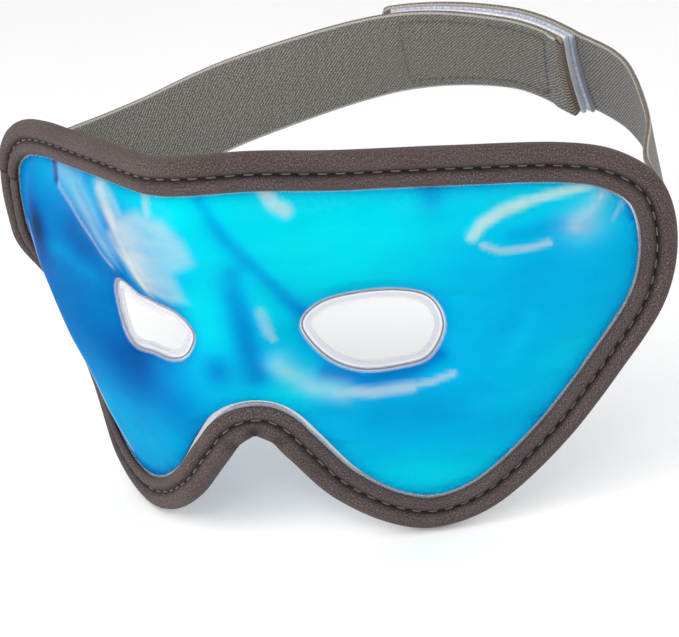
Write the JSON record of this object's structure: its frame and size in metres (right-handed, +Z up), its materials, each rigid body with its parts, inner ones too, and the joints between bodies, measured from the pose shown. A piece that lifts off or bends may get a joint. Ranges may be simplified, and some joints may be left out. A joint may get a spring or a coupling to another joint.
{
  "type": "gel eye mask",
  "caption": "Gel face mask with eye openings, a nose notch, a fabric-bound edge and an elastic strap that closes behind the head with hook and loop tape.",
  "frame": {"origin": "where the back of the mask rests on the bridge of the nose, on the nose line at mid-eye height", "axes": "+X towards the wearer's left, +Y back through the head towards the strap's closure, +Z up"},
  "size_m": [0.1984, 0.1632, 0.114],
  "materials": {
    "clear_film": "glossy soft clear film, frosted along the welds",
    "blue_gel": "wet translucent gel",
    "binding_fabric": "brushed brown-grey knit",
    "strap_elastic": "fine woven grey elastic",
    "hook_tape": "white hook tape",
    "loop_tape": "pale lavender-grey loop tape",
    "sewing_thread": "twisted polyester thread"
  },
  "bodies": {
    "mask": {"front_film": "clear_film", "rear_film": "clear_film", "gel_fill": "blue_gel", "binding": "binding_fabric", "binding_needle_thread": "sewing_thread", "binding_bobbin_thread": "sewing_thread"},
    "left_strap": {"strap_left": "strap_elastic", "root_tack_left": "sewing_thread"},
    "left_tab": {"strap_left_tab": "strap_elastic", "hook_tape": "hook_tape", "hook_tape_thread": "sewing_thread"},
    "right_strap": {"strap_right": "strap_elastic", "loop_tape": "loop_tape", "loop_tape_thread": "sewing_thread", "root_tack_right": "sewing_thread"}
  },
  "joints": [
    {"name": "right_strap_swing", "type": "hinge", "parent": "mask", "child": "right_strap", "pos_m": [0.09428, 0.05609, 0.0185], "axis": [0.0078, -0.0276, -0.9996], "range_deg": [0, 100]},
    {"name": "left_strap_swing", "type": "hinge", "parent": "mask", "child": "left_strap", "pos_m": [-0.09323, 0.04409, 0.0185], "axis": [-0.0107, -0.0808, -0.9967], "range_deg": [0, 15]},
    {"name": "tab_peel", "type": "hinge", "parent": "left_strap", "child": "left_tab", "pos_m": [-0.01254, 0.13463, 0.03626], "axis": [0.052, 0.2206, -0.974], "range_deg": [0, 35]}
  ]
}
